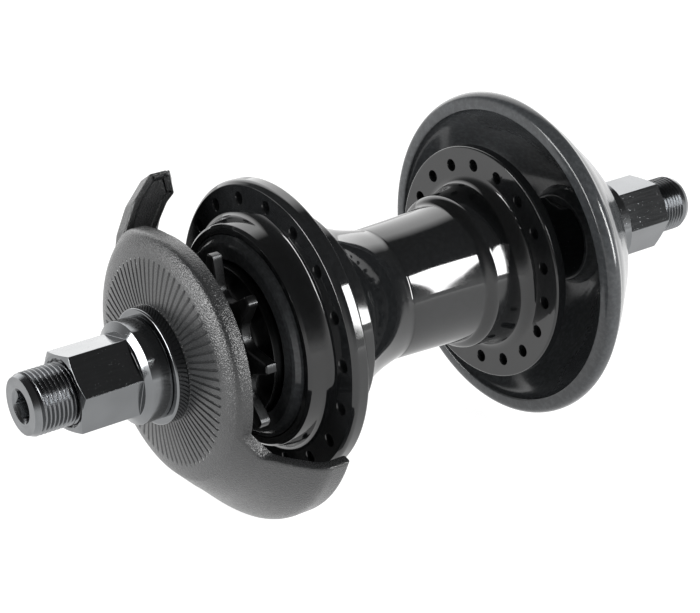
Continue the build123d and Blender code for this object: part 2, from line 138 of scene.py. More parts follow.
def curve_through(points, first, last, count):
    """A smooth curve through (r, y) points with the given end directions, as evenly spaced points."""
    knots = np.array(points, float)
    steps = np.hypot(*np.diff(knots, axis=0).T)
    at = np.concatenate([[0], np.cumsum(steps)])
    size = len(knots)
    system = np.zeros((size, size))
    right = np.zeros((size, 2))
    system[0, 0] = system[-1, -1] = 1
    right[0] = np.array(first) / np.hypot(*first)
    right[-1] = np.array(last) / np.hypot(*last)
    for i in range(1, size - 1):
        a, b = steps[i - 1], steps[i]
        system[i, i - 1:i + 2] = (b, 2 * (a + b), a)
        right[i] = 3 * (b * (knots[i] - knots[i - 1]) / a + a * (knots[i + 1] - knots[i]) / b)
    slopes = np.linalg.solve(system, right)
    result = []
    for s in np.linspace(0, at[-1], count):
        i = min(int(np.searchsorted(at, s, side="right")) - 1, size - 2)
        h = steps[i]
        t = (s - at[i]) / h
        point = ((2 * t ** 3 - 3 * t ** 2 + 1) * knots[i] + (t ** 3 - 2 * t ** 2 + t) * h * slopes[i]
                 + (3 * t ** 2 - 2 * t ** 3) * knots[i + 1] + (t ** 3 - t ** 2) * h * slopes[i + 1])
        result.append((float(point[0]), float(point[1])))
    return result


def on_side(side, points):
    """The (r, y) points on the drive side, -1, or on the other side, 1."""
    return [(r, side * y) for r, y in points]


def clamp(value):
    return min(1.0, max(0.0, value))


def ease(share):
    """0 below 0, and a smooth rise from 0 to 1."""
    share = max(0.0, share)
    return share * share * (3 - 2 * share)


def skin(columns, wrap_columns=True, wrap_rows=True):
    """Vertices and faces of a grid given as columns of points."""
    width, height = len(columns), len(columns[0])
    verts = [p for column in columns for p in column]
    faces = []
    for i in range(width if wrap_columns else width - 1):
        for j in range(height if wrap_rows else height - 1):
            i2, j2 = (i + 1) % width, (j + 1) % height
            faces.append((i * height + j, i2 * height + j, i2 * height + j2, i * height + j2))
    return verts, faces


def inset_columns(outline, section, place):
    """A closed outline's points drawn inwards and in depth by each (inset, depth) of a section."""
    flat = [Vector(p) for p in outline]
    area = sum(a.x * b.y - b.x * a.y for a, b in zip(flat, flat[1:] + flat[:1]))
    turn = 1 if area > 0 else -1
    columns = []
    for i, here in enumerate(flat):
        back = (here - flat[i - 1]).normalized()
        ahead = (flat[(i + 1) % len(flat)] - here).normalized()
        inwards = Vector((-back.y - ahead.y, back.x + ahead.x)) * turn
        inwards = inwards / max(inwards.length_squared / 2, 0.5)
        columns.append([place(*(here + inwards * inset), depth) for inset, depth in section])
    return columns


def plate(outline, section, place):
    """A closed solid from an outline and its edge's section, with a flat cap at either end."""
    columns = inset_columns(outline, section, place)
    verts, faces = skin(columns, wrap_rows=False)
    height = len(section)
    faces.append([i * height for i in range(len(columns))])
    faces.append([i * height + height - 1 for i in range(len(columns))])
    return verts, faces


def smoothed(mesh, sharp):
    """The mesh with smooth faces and with sharp edges over the given angle in degrees."""
    mesh.shade_smooth()
    mesh.set_sharp_from_angle(angle=math.radians(sharp))
    return mesh


def build_mesh(name, parts, sharp):
    """One clean mesh from several (vertices, faces) parts, smooth but for edges over the sharp angle."""
    mesh = bpy.data.meshes.new(name)
    bm = bmesh.new()
    for verts, faces in parts:
        made = [bm.verts.new(v) for v in verts]
        for face in faces:
            bm.faces.new([made[k] for k in face])
    bmesh.ops.remove_doubles(bm, verts=bm.verts, dist=MERGE_DISTANCE)
    bmesh.ops.dissolve_degenerate(bm, edges=bm.edges, dist=MERGE_DISTANCE)
    bmesh.ops.recalc_face_normals(bm, faces=bm.faces)
    bm.to_mesh(mesh)
    bm.free()
    return smoothed(mesh, sharp)


def circle(count):
    """Angles of evenly spaced columns round the axle."""
    return [2 * math.pi * k / count for k in range(count)]


def lathe(profile, angles, closed=True):
    """A part turned about the axle. The profile is a list of (r, y), or a function that gives one."""
    rings = []
    for angle in angles:
        section = profile(angle) if callable(profile) else profile
        rings.append([turn_point(r, y, angle) for r, y in section])
    return skin(rings, wrap_rows=closed)


def put_in_scene(name, data):
    thing = bpy.data.objects.new(name, data)
    bpy.context.scene.collection.objects.link(thing)
    return thing


def hand_over(mesh, body, slot, node):
    """A finished mesh becomes a piece that rides on a body and stands for a CAD node."""
    piece = put_in_scene(mesh.name, mesh)
    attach(piece, body)
    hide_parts(node)


def add_piece(name, parts, body, slot, node, sharp=30.0):
    """A piece from (vertices, faces) parts, in the finish of its slot."""
    mesh = build_mesh(name, parts, sharp)
    mesh.materials.append(finish(slot))
    hand_over(mesh, body, slot, node)


class Value:
    """A node's output that takes part in Python arithmetic."""

    def __init__(self, graph, socket):
        self.graph = graph
        self.socket = socket

    def __add__(self, other):
        return self.graph.maths("ADD", self, other)

    def __sub__(self, other):
        return self.graph.maths("SUBTRACT", self, other)

    def __mul__(self, other):
        return self.graph.maths("MULTIPLY", self, other)

    def __rsub__(self, other):
        return self.graph.maths("SUBTRACT", other, self)

    __radd__ = __add__
    __rmul__ = __mul__


class Graph:
    """The node tree of a material, a world or a modifier, written through one method."""

    def __init__(self, tree, owner=None):
        self.tree = tree
        self.owner = owner
        tree.nodes.clear()

    def node(self, kind, settings, *values, out=0, **named):
        """Adds a node: settings first, then its sockets by order or by name. Returns one of its outputs."""
        node = self.tree.nodes.new(kind)
        for key, value in settings.items():
            if key == "stops":
                self.fill_ramp(node, value)
            else:
                setattr(node, key, value)
        pairs = list(zip(node.inputs, values))
        pairs += [(node.inputs[key.replace("_", " ")], value) for key, value in named.items()]
        for socket, value in pairs:
            if isinstance(value, Value):
                self.tree.links.new(value.socket, socket)
            elif value is not None:
                socket.default_value = value
        return Value(self, node.outputs[out]) if node.outputs else None

    @staticmethod
    def fill_ramp(node, stops):
        elements = node.color_ramp.elements
        while len(elements) < len(stops):
            elements.new(1.0)
        for element, (position, level) in zip(elements, stops):
            element.position = position
            element.color = (level, level, level, 1.0)

    def maths(self, operation, *values):
        return self.node("ShaderNodeMath", {"operation": operation}, *values)

    def ramp(self, value, *stops):
        """Levels between (position, level) stops."""
        return self.node("ShaderNodeValToRGB", {"stops": stops}, value)

    def blend(self, amount, low, high):
        """A colour between two colours."""
        unused = [None] * 5
        return self.node("ShaderNodeMix", {"data_type": "RGBA"}, amount, *unused, low, high, out=2)

    def place(self):
        """Object coordinates."""
        return self.node("ShaderNodeTexCoord", {}, out=3)

    def outputs(self, value):
        """Every output of the node that a value comes from."""
        return [Value(self, socket) for socket in value.socket.node.outputs]

    def split(self, vector):
        """The x, y and z of a vector."""
        return self.outputs(self.node("ShaderNodeSeparateXYZ", {}, vector))

    def noise(self, scale, detail=3.0, roughness=0.6, place=None):
        return self.node("ShaderNodeTexNoise", {}, Vector=place or self.place(), Scale=scale, Detail=detail,
                         Roughness=roughness)

    def radius(self):
        """Distance from the axle's line, in metres."""
        x, y, z = self.split(self.place())
        return self.maths("SQRT", x * x + z * z)

    def rings(self, scale):
        """Noise in rings about the axle, as turning leaves it."""
        along = self.split(self.place())[1]
        spot = self.node("ShaderNodeCombineXYZ", {}, self.radius(), along)
        return self.noise(scale, detail=2.0, place=spot)

    def bump(self, height, strength, distance, under=None):
        return self.node("ShaderNodeBump", {}, Strength=strength, Distance=distance, Height=height,
                         Normal=under)

    def background_seen(self):
        """1 for rays from the camera and for mirrored or refracted ones, 0 for light on the object."""
        camera, glossy, through = (self.node("ShaderNodeLightPath", {}, out=k) for k in (0, 3, 6))
        return self.maths("MAXIMUM", camera, self.maths("MAXIMUM", glossy, through))

    def surface(self, **sockets):
        """Ends a material in one Principled shader and returns the material."""
        self.node("ShaderNodeOutputMaterial", {}, self.node("ShaderNodeBsdfPrincipled", {}, **sockets))
        return self.owner


def grey(level, tint=0.0):
    """A neutral colour, slightly cooler with a positive tint."""
    return (level * (1 - tint), level, level * (1 + tint), 1.0)


def new_finish(name):
    material = bpy.data.materials.new(name)
    material.use_nodes = True
    return Graph(material.node_tree, material)


def turned_metal(name, level, roughness, ring_scale, ring_depth, tint, wear):
    """Machined metal: rings from turning, slow stains and a fine tooth."""
    metal = new_finish(name)
    rings = metal.rings(ring_scale)
    stain = metal.noise(120.0)
    tooth = metal.noise(2600.0, detail=2.0)
    tone = metal.ramp(stain * 0.6 + rings * 0.4, (0.3, 0.0), (0.7, 1.0))
    colour = metal.blend(tone, grey(level * (1 - wear), tint), grey(level * (1 + wear), tint))
    rough = roughness + (rings - 0.5) * 0.2 + (stain - 0.5) * 0.12
    lift = metal.bump(rings, 0.5, ring_depth * MM, metal.bump(tooth, 0.18, 0.02 * MM))
    return metal.surface(Base_Color=colour, Metallic=1.0, Roughness=rough, Normal=lift)


def guard_nylon(name, level):
    """Fibre-filled nylon: a fine moulded tooth inside, a coarser grain towards the rim, with painted glint
    specks there.
    """
    nylon = new_finish(name)
    coarse = nylon.noise(2900.0, detail=1.5, roughness=0.5)
    fine = nylon.noise(6200.0, detail=2.0, roughness=0.55)
    outer = nylon.ramp(nylon.radius() * 20.0, (0.46, 0.15), (0.52, 1.0))
    # Painted glint: lighter dots in the rim zone stand in for the sparkle of light on the grain, and they are
    # made a little smoother.
    painted_glint_speck = nylon.ramp(nylon.noise(3900.0, detail=1.0), (0.60, 0.0), (0.70, 1.0)) * outer
    cloud = nylon.noise(90.0)
    tone = nylon.ramp(cloud, (0.3, 0.0), (0.7, 1.0))
    colour = nylon.blend(tone, grey(level * 0.85, 0.03), grey(level * 1.15, 0.03))
    # The painted glint specks lift the colour towards three times its grey level.
    colour = nylon.blend(painted_glint_speck * 0.45, colour, grey(level * 3.0, 0.02))
    rough = 0.27 + (fine - 0.5) * 0.2 + (cloud - 0.5) * 0.1 - painted_glint_speck * 0.1
    lift = nylon.bump(coarse * (outer * 0.9 + 0.1), 1.0, 0.18 * MM, nylon.bump(fine, 0.5, 0.04 * MM))
    return nylon.surface(Base_Color=colour, Roughness=rough, IOR=1.62, Normal=lift)


def gloss_black(name, level, waviness, roughness, index):
    """Anodised and polished black: deep, with fine dust and a faint orange peel."""
    gloss = new_finish(name)
    dust = gloss.noise(900.0, detail=4.0)
    peel = gloss.noise(200.0, detail=1.0)
    tone = gloss.ramp(dust, (0.42, 0.0), (0.75, 1.0))
    colour = gloss.blend(tone, grey(level, 0.06), grey(level * 1.6, 0.06))
    rough = roughness + (dust - 0.4) * 0.06
    lift = gloss.bump(peel, waviness, 0.02 * MM)
    return gloss.surface(Base_Color=colour, Roughness=rough, IOR=index, Normal=lift)


def black_chrome(level):
    """Dark plating over a ground nut: almost a mirror, with grinding lines and pits."""
    chrome = new_finish("black_chrome")
    x, y, z = chrome.split(chrome.place())
    stretched = chrome.node("ShaderNodeCombineXYZ", {}, x, y * 0.06, z)
    lines = chrome.noise(2600.0, detail=2.0, roughness=0.5, place=stretched)
    cloud = chrome.noise(70.0, detail=2.0)
    pit = chrome.ramp(chrome.noise(2600.0, detail=1.0), (0.70, 0.0), (0.76, 1.0))
    tone = chrome.ramp(cloud, (0.35, 0.0), (0.65, 1.0))
    colour = chrome.blend(tone, grey(level * 0.93, 0.03), grey(level * 1.07, 0.03))
    rough = 0.12 + (lines - 0.5) * 0.1 + pit * 0.15
    lift = chrome.bump(lines, 0.12, 0.02 * MM, chrome.bump(pit, 0.2, 0.02 * MM))
    return chrome.surface(Base_Color=colour, Metallic=1.0, Roughness=rough, Normal=lift)


def seal_rubber(name):
    rubber = new_finish(name)
    grain = rubber.noise(2400.0)
    colour = rubber.blend(grain, grey(0.012), grey(0.03))
    rough = 0.62 + (grain - 0.5) * 0.2
    return rubber.surface(Base_Color=colour, Roughness=rough, Normal=rubber.bump(grain, 0.3, 0.04 * MM))


def slack_acetal(name):
    """The pale plastic of the slack spacer."""
    acetal = new_finish(name)
    cloud = acetal.noise(220.0)
    colour = acetal.blend(cloud, (0.60, 0.60, 0.57, 1.0), (0.72, 0.72, 0.70, 1.0))
    rough = 0.4 + (cloud - 0.5) * 0.2
    return acetal.surface(Base_Color=colour, Roughness=rough, Normal=acetal.bump(cloud, 0.2, 0.03 * MM))


# Slot: grey level, roughness, scale and depth (mm) of the turned rings, tint, spread of the grey level.
METALS = {
    "axle_steel": (0.20, 0.20, 2600.0, 0.02, 0.03, 0.25),
    "cog_steel": (0.05, 0.30, 3000.0, 0.03, 0.02, 0.25),
    "bearing_steel": (0.56, 0.16, 3400.0, 0.01, 0.02, 0.08),
    "cage_steel": (0.42, 0.34, 1800.0, 0.02, 0.02, 0.12),
    "spacer_aluminium": (0.10, 0.32, 2800.0, 0.02, 0.02, 0.15),
    "clutch_steel": (0.30, 0.28, 2200.0, 0.03, 0.02, 0.15),
    "spring_steel": (0.45, 0.25, 5200.0, 0.01, 0.02, 0.1),
}
MADE_FINISHES = {}


def make_finish(slot):
    colours = bpy.context.scene.hub_colours
    if slot in METALS:
        return turned_metal(slot, *METALS[slot])
    if slot == "nut_chrome":
        return black_chrome(colours.nut[1])
    if slot == "guard_plastic":
        return guard_nylon(slot, colours.guard[1])
    if slot == "shell_gloss":
        return gloss_black(slot, colours.shell[1], waviness=0.015, roughness=0.06, index=1.6)
    if slot == "disc_gloss":
        return gloss_black(slot, colours.disc[1], waviness=0.015, roughness=0.13, index=1.45)
    return {"seal_rubber": seal_rubber, "slack_plastic": slack_acetal}[slot](slot)


def finish(slot):
    """The material of a slot, made the first time it is asked for."""
    if slot not in MADE_FINISHES:
        MADE_FINISHES[slot] = make_finish(slot)
    return MADE_FINISHES[slot]


def hexagon_radius(angle, phase, flats, corner):
    """Distance from the axle to a hexagon with rounded corners. phase is the angle of a corner in degrees."""
    off = abs((angle - math.radians(phase)) % HEX_SIDE - HEX_HALF)
    apothem = flats / 2
    if off <= math.atan(math.tan(HEX_HALF) * (apothem - corner) / apothem):
        return apothem / math.cos(off)
    centre = (apothem - corner) / math.cos(HEX_HALF)
    sine = centre * math.sin(HEX_HALF - off)
    return centre * math.cos(HEX_HALF - off) + math.sqrt(max(corner ** 2 - sine ** 2, 0))


def hexagon_angles(phase):
    """Column angles for a hexagon: close together round each corner, wider along each flat."""
    spread = math.radians(1.5)
    margin = spread * 1.25
    corner_steps, flat_steps = 4, 6
    angles = []
    for side in range(6):
        corner = math.radians(phase) + side * HEX_SIDE
        angles += [corner - spread + 2 * spread * k / corner_steps for k in range(corner_steps + 1)]
        angles += [corner + margin + (HEX_SIDE - 2 * margin) * k / flat_steps for k in range(flat_steps + 1)]
    return angles


def thread(side, sizes):
    """One threaded end of the axle, from its chamfered face to where the thread runs out."""
    pitch, depth = sizes.thread_pitch / MM, sizes.thread_depth / MM
    chamfer, chamfer_length = 0.6, 1.3
    plain_end, fade_length = 1.0, 1.1
    # One turn as (share of the pitch, share of the depth): crest, then root.
    shape = ((0.00, 0.0), (0.16, 0.0), (0.48, 1.0), (0.68, 1.0))
    turns = int((AXLE_HALF - THREAD_START) / pitch) + 3
    rings = []
    for k in range(END_COLUMNS + 1):
        angle = 2 * math.pi * k / END_COLUMNS
        ring = []
        for n in range(turns):
            for offset, deep in shape:
                y = THREAD_START - pitch + (n + offset - k / END_COLUMNS * side) * pitch
                y = min(max(y, THREAD_START), AXLE_HALF)
                fade = clamp((AXLE_HALF - plain_end - y) / fade_length) if y > THREAD_START else 0.0
                cone = AXLE_R - chamfer + (AXLE_HALF - y) * (chamfer / chamfer_length)
                ring.append(turn_point(min(AXLE_R - deep * fade * depth, cone), side * y, angle))
        rings.append(ring)
    return skin(rings, wrap_columns=False, wrap_rows=False)


def axle_socket(side):
    """The axle's end face, with the conical mouth and hexagonal socket for a key."""
    rim_r, mouth, cone, flats, corner, depth = 6.4, 3.9, 0.93, 6.0, 0.12, 9.0
    face, floor = AXLE_HALF, AXLE_HALF - depth

    def section(angle):
        wall = hexagon_radius(angle, DRIVE_NUT_TURN, flats, corner)
        meet = face - (mouth - wall) / cone
        return on_side(side, [
            (rim_r, face), (mouth + 0.25, face), (mouth + 0.04, face), (mouth, face - 0.04),
            (wall + 0.02, meet + 0.02), (wall, meet - 0.03), (wall, floor + 0.1), (wall - 0.1, floor),
            (1.5, floor - 0.5), (0.0, floor - 1.2)])

    return lathe(section, circle(END_COLUMNS), closed=False)


def make_axle():
    """The turned middle with its circlip groove, the two threads and the two sockets."""
    sizes = bpy.context.scene.hub_sizes
    body_r, step_r, groove_r = 7.9, 7.4, 7.2
    groove, groove_end = -4.9, -3.8
    middle = [
        (AXLE_R, -THREAD_START), (AXLE_R, -33.5), (step_r, -33.5), (body_r, -33.0), (body_r, groove),
        (groove_r, groove), (groove_r, groove_end), (body_r, groove_end), (body_r, 26.5), (step_r, 27.0),
        (AXLE_R, 27.0), (AXLE_R, THREAD_START)]
    parts = [lathe(middle, circle(END_COLUMNS), closed=False)]
    for side in (-1, 1):
        parts += [thread(side, sizes), axle_socket(side)]
    add_piece("axle_threaded", parts, "axle_group", "axle_steel", "axle")


def make_nut(side, phase, name, body, node):
    """A flanged nut: bevelled hexagon, round collar with a coned front, and a countersunk bore."""
    seat, collar, cone, top = 65.15, 70.0, 71.0, 85.5
    flats, corner = 17.0, 0.22
    bore, sink, collar_r = 7.06, 0.7, 11.65
    cone_r = flats / 2 / math.cos(HEX_HALF)
    face_r = flats / 2 - 0.2
    bevel_slope = 0.36

    def section(angle):
        wall = hexagon_radius(angle, phase, flats, corner)
        brim = top - (wall - face_r) * bevel_slope
        return on_side(side, rounded([
            (bore, seat + sink, 0), (bore + sink, seat, 0.1), (collar_r, seat, 0.3), (collar_r, collar, 0.12),
            (cone_r + 0.02, cone, 0.06), (wall, cone + 0.01, 0.12), (wall, brim, 0.12), (face_r, top, 0.08),
            (bore + sink, top, 0.06), (bore, top - sink, 0)], 3))

    add_piece(name, [lathe(section, hexagon_angles(phase))], body, "nut_chrome", node)


def make_washer(side, name, body, node):
    bore, outer_r, outer_y = 7.3, 13.2, 65.1
    profile = rounded([(bore, GUARD_FACE, 0.15), (outer_r, GUARD_FACE, 0.2), (outer_r, outer_y, 0.45),
                       (bore, outer_y, 0.3)])
    washer = lathe(on_side(side, profile), circle(WASHER_COLUMNS))
    add_piece(name, [washer], body, "nut_chrome", node)


# The drive guard. Curves are (r, y) points, and angles are in degrees.
GUARD_DISC_R = 28.2
SKIRT_R = 41.6
SKIRT_WALL = 2.6
SKIRT_END = -38.5
SKIRT_FROM_ANGLE = 136
DISC_RINGS_OUT, DISC_RINGS_IN = 12, 14
SKIRT_DOME_ROWS, SKIRT_LOW_ROWS = 20, 6
GUARD_CURVE_POINTS = 900
GUARD_CURVE_ENDS = ((1, 0.02), (0.05, 1))
GUARD_DOME = [(13.2, -GUARD_FACE), (20.0, -61.6), (25.0, -60.7), (28.3, -59.2), (31.2, -56.2), (36.0, -51.2),
              (39.6, -47.4), (SKIRT_R, -43.2)]
GUARD_INSIDE = [(13.0, -59.0), (20.0, -58.6), (24.4, -57.9), (27.0, -56.6), (29.3, -54.3), (34.1, -49.4),
                (37.2, -46.0), (39.0, -42.6)]

# Across one groove as shares of its sector, and the radii from its start to its end.
GROOVE_HALF = 0.17
GROOVE_SHARES = (0.0, 0.17, 0.31, 0.35, 0.42, 0.5, 0.58, 0.65, 0.69, 0.83)
GROOVE_IN, GROOVE_OUT = 13.3, 23.9
GROOVE_RADII = [13.25, GROOVE_IN, 13.45, 13.6, 14.5, 16.0, 17.5, 19.0, 20.5, 22.0, 23.1, 23.3, 23.5, 23.7,
                GROOVE_OUT]

# The skirt's two ends: the prong's front as x and a slant in (x, y), the low edge as a line in (x, z).
PRONG_X = -22.4
PRONG_SLANT = ((PRONG_X, -43.5), (-29.3, SKIRT_END))
PRONG_WALL_TOP = 32.4
LOW_POINT, LOW_SLOPE, LOW_CORNER_R = (39.0, -14.8), -11.2, 4.5
BAR_WAY = (-0.83, 0.06, -0.55)
BAR_DEPTH = 5.0
BAR_CORNERS = ((-56.5, 16.5, 0), (-55.4, 22.6, 3), (-52.75, 28.75, 3), (-48.3, 34.2, 0.7), (-44.2, 34.2, 0.7),
               (-43.1, 33.2, 0.7), (-42.2, 28.2, 0.7), (-44.2, 26.4, 3), (-47.1, 21.2, 3), (-49.3, 16.5, 0))
EDGE_SWELL = ((98.0, GUARD_DISC_R), (112.0, 28.8), (124.0, 30.0), (136.0, 31.3), (150.0, 31.3),
              (176.0, GUARD_DISC_R))


def disc_edge(angle):
    """Radius of the disc's edge, which swells a little beside the prong. The angle is in degrees."""
    knots, radii = zip(*EDGE_SWELL)
    if not knots[0] < angle < knots[-1]:
        return GUARD_DISC_R
    level = float(np.interp(angle, knots, radii))
    smooth = sum(float(np.interp(angle + k, knots, radii)) for k in (-4, -2, 2, 4)) / 4
    return (level + smooth) / 2


def skirt_start(radius, y):
    """Angle in degrees where the skirt begins: the prong's upright front cut and its slanted corner."""
    (x0, y0), (x1, y1) = PRONG_SLANT
    limit = PRONG_X - 0.5 + max(0.0, (y - y0) / (y1 - y0)) * (x1 - x0)
    under_bar = 180 - math.degrees(math.asin(min(1.0, PRONG_WALL_TOP / radius)))
    return max(math.degrees(math.acos(limit / radius)), under_bar)


def skirt_stop(radius):
    """Angle in degrees, past 180, where the skirt ends: a straight low edge with a round inner corner."""
    x, z = LOW_POINT
    slope = math.radians(LOW_SLOPE)
    level = z * math.cos(slope) - x * math.sin(slope)
    line = 360 + LOW_SLOPE + math.degrees(math.asin(level / radius))
    reach = GUARD_DISC_R + LOW_CORNER_R
    lean = math.asin((level + LOW_CORNER_R) / reach)
    centre = 360 + LOW_SLOPE + math.degrees(lean)
    touch = reach * math.cos(lean)
    if radius >= math.hypot(touch, level):
        return line
    bend = (radius ** 2 + reach ** 2 - LOW_CORNER_R ** 2) / (2 * radius * reach)
    return centre - math.degrees(math.acos(min(1.0, bend)))


def groove_depth(radius, share):
    """Depth of the radial grooves: share is the place across one groove, from 0 to 1."""
    run_in, run_out = 0.3, 0.8
    band = clamp((radius - GROOVE_IN) / run_in) * clamp((GROOVE_OUT - radius) / run_out)
    across = max(0.0, 1 - abs(share - 0.5) / GROOVE_HALF)
    return bpy.context.scene.hub_sizes.groove_depth / MM * band * math.sqrt(across)


def prong_bar(edge_r):
    """The thick bar along the prong's front: rounded edges round a slightly sunk panel."""
    way = Vector(BAR_WAY) / abs(BAR_WAY[0])
    panel, sunk = 1.5, 0.4
    front = [(panel + 0.5, sunk), (panel + 0.32, sunk), (panel + 0.25, sunk - 0.05), (panel + 0.05, 0.04),
             (panel, 0.0), (panel - 0.2, 0.0), (edge_r + 0.04, 0.0)]
    bend = [math.pi / 2 * n / 4 for n in range(5)]
    front += [(edge_r * (1 - math.sin(b)), edge_r * (1 - math.cos(b))) for b in bend]
    section = front + [(0.0, edge_r + 0.1), (0.0, BAR_DEPTH)]

    def place(y, z, depth):
        return tuple((Vector((PRONG_X, y, z)) + way * depth) * MM)

    return plate(rounded(BAR_CORNERS), section, place)


def height_at(curve, radius):
    """The y of a curve of (r, y) points at a radius."""
    i = int(np.searchsorted([r for r, y in curve], radius))
    i = min(max(i, 1), len(curve) - 1)
    (r0, y0), (r1, y1) = curve[i - 1], curve[i]
    return y0 + (y1 - y0) * (radius - r0) / max(r1 - r0, 1e-9)


def bent(start, corner, end):
    """Points of a smooth bend from start to end, drawn towards the corner."""
    return [start * (1 - t) ** 2 + corner * (2 * t * (1 - t)) + end * t ** 2 for t in (1 / 3, 2 / 3, 1.0)]


def make_drive_guard():
    """The domed guard as one sheet: a full disc, the deep skirt behind it, and a rounded cut edge."""
    sizes = bpy.context.scene.hub_sizes
    grooves, per_groove = sizes.groove_count, len(GROOVE_SHARES)
    columns = grooves * per_groove
    edge_r = sizes.guard_edge / MM
    angles = [360 * (k // per_groove + GROOVE_SHARES[k % per_groove]) / grooves for k in range(columns)]
    first = next(k for k, a in enumerate(angles) if a >= SKIRT_FROM_ANGLE)
    stop_angle = skirt_stop(GUARD_DISC_R + 0.001)
    last = max(k for k, a in enumerate(angles) if a <= stop_angle)
    bend_columns = columns // 9
    verts, faces = [], []

    def add(point):
        verts.append(tuple(point))
        return len(verts) - 1

    def bridge(a, b):
        """Faces between two lines of vertex numbers."""
        faces.extend((a[n], b[n], b[n + 1], a[n + 1]) for n in range(len(a) - 1))

    def disc_column(curve, k, outer):
        """Vertex numbers from the boss to the disc's edge in one column."""
        edge = disc_edge(angles[k]) - edge_r
        inner_r = GROOVE_OUT if outer else 13.05
        rings = DISC_RINGS_OUT if outer else DISC_RINGS_IN
        radii = [inner_r + (edge - inner_r) * n / rings for n in range(rings + 1)]
        if outer:
            points = [(GUARD_BORE_R, -GUARD_FACE), (10.0, -GUARD_FACE), (12.7, -GUARD_FACE)]
            for radius in GROOVE_RADII + radii[1:]:
                depth = groove_depth(radius, GROOVE_SHARES[k % per_groove])
                points.append((radius, height_at(curve, radius) + depth))
        else:
            points = [(GUARD_BORE_R, -GUARD_SEAT), (10.6, -GUARD_SEAT), (11.0, -55.3), (12.4, -58.0),
                      (12.8, -58.7)]
            points += [(radius, height_at(curve, radius)) for radius in radii]
        return [add(turn_point(r, y, math.radians(angles[k]))) for r, y in points]

    def skirt_rows(curve, rim):
        """The skirt's rows as (radius, y) just beyond the disc's edge and down to its end."""
        edge = disc_edge(angles[first]) + 0.4
        flat = [(r, y) for r, y in curve if r > edge]
        rows = [flat[round(i)] for i in np.linspace(0, len(flat) - 1, SKIRT_DOME_ROWS)]
        start = rows[-1][1]
        drop = SKIRT_END - edge_r - start
        return rows + [(rim, start + drop * n / SKIRT_LOW_ROWS) for n in range(1, SKIRT_LOW_ROWS + 1)]

    def skirt_point(radius, y, k, inset):
        """A skirt point in column k, drawn to the cut edges near either end."""
        trim = math.degrees(inset / radius)
        begin = skirt_start(radius, y) + trim - angles[first]
        end = skirt_stop(radius) - trim - angles[last]
        near = ease(1 - (k - first) / bend_columns)
        far = ease(1 - (last - k) / bend_columns)
        return turn_point(radius, y, math.radians(angles[k] + (begin * near + end * far)))

    def sheet(points, rim, outer):
        """Adds one side of the wall. Returns its curve, vertex numbers by column and the skirt's rows."""
        curve = curve_through(points, *GUARD_CURVE_ENDS, GUARD_CURVE_POINTS)
        discs = [disc_column(curve, k, outer) for k in range(columns)]
        rows = skirt_rows(curve, rim)
        skirts = [[add(skirt_point(r, y, k, edge_r)) for r, y in rows] for k in range(first, last + 1)]
        for k in range(columns):
            bridge(discs[k], discs[(k + 1) % columns])
        for k in range(len(skirts) - 1):
            bridge([discs[first + k][-1]] + skirts[k], [discs[first + k + 1][-1]] + skirts[k + 1])
        return curve, discs, skirts, rows[:-1] + [(rim, SKIRT_END)]

    sides = (sheet(GUARD_DOME, SKIRT_R, True), sheet(GUARD_INSIDE, SKIRT_R - SKIRT_WALL, False))
    bore = [[discs[k][0] for _, discs, _, _ in sides] for k in range(columns)]
    for k in range(columns):
        bridge(bore[k], bore[(k + 1) % columns])

    def disc_stop(k):
        edge = disc_edge(angles[k])
        return [(discs[k][-1], turn_point(edge, height_at(curve, edge), math.radians(angles[k])))
                for curve, discs, _, _ in sides]

    def skirt_end_stop(k, n, inset):
        return [(skirts[k - first][n], skirt_point(*rows[n], k, inset)) for _, _, skirts, rows in sides]

    # The cut edge as one loop of stops. A stop is an inset vertex and a sharp corner, outside and inside.
    low_row = len(sides[0][3]) - 1
    stops = [disc_stop(k % columns) for k in range(last, columns + first + 1)]
    stops += [skirt_end_stop(first, n, 0.0) for n in range(low_row + 1)]
    stops += [skirt_end_stop(k, low_row, edge_r) for k in range(first + 1, last)]
    stops += [skirt_end_stop(last, n, 0.0) for n in range(low_row, -1, -1)]

    strips = []
    for (out_vert, out_corner), (in_vert, in_corner) in stops:
        a, b = Vector(out_corner), Vector(in_corner)
        step = (b - a).normalized() * min(edge_r * MM, (b - a).length * EDGE_SHARE)
        outer_bend = bent(Vector(verts[out_vert]), a, a + step)
        inner_bend = bent(Vector(verts[in_vert]), b, b - step)
        strips.append([out_vert] + [add(p) for p in outer_bend + inner_bend[::-1]] + [in_vert])
    for a, b in zip(strips, strips[1:] + strips[:1]):
        bridge(a, b)
    add_piece("drive_guard_moulding", [(verts, faces), prong_bar(edge_r)], "axle_group", "guard_plastic",
              "drive_guard", GUARD_SHARP)


def make_non_drive_guard():
    """The dished guard of the other side, with its thick rolled rim."""
    outer = curve_through([(13.4, GUARD_FACE), (24.0, 56.6), (33.0, 47.0), (38.2, 41.0), (39.9, 38.9)],
                          (1, -0.1), (1, -0.9), 48)
    inner = curve_through([(36.5, 35.6), (34.6, 38.6), (29.6, 45.6), (21.6, 53.2), (12.8, 58.6)],
                          (-0.3, 1), (-1, 0.2), 40)
    rim = curve_through([(39.9, 38.9), (40.4, 38.2), (40.5, 37.5), (40.2, 36.1), (39.5, 35.35), (38.5, 35.1)],
                        (1, -0.9), (-1, -0.1), 22)
    roll = curve_through([(37.1, 35.0), (36.7, 35.15), (36.5, 35.6)], (-1, 0.05), (-0.2, 1), 8)
    boss = rounded([(12.8, 58.6, 0), (11.0, GUARD_SEAT, 0.3), (GUARD_BORE_R, GUARD_SEAT, 0.2),
                    (GUARD_BORE_R, GUARD_FACE, 0.2), (13.4, GUARD_FACE, 0)])
    profile = outer[:-1] + rim + roll + inner[1:-1] + boss[:-1]
    add_piece("non_drive_guard_dish", [lathe(profile, circle(DISH_COLUMNS))], "axle_group", "disc_gloss",
              "non_drive_guard", GUARD_SHARP)


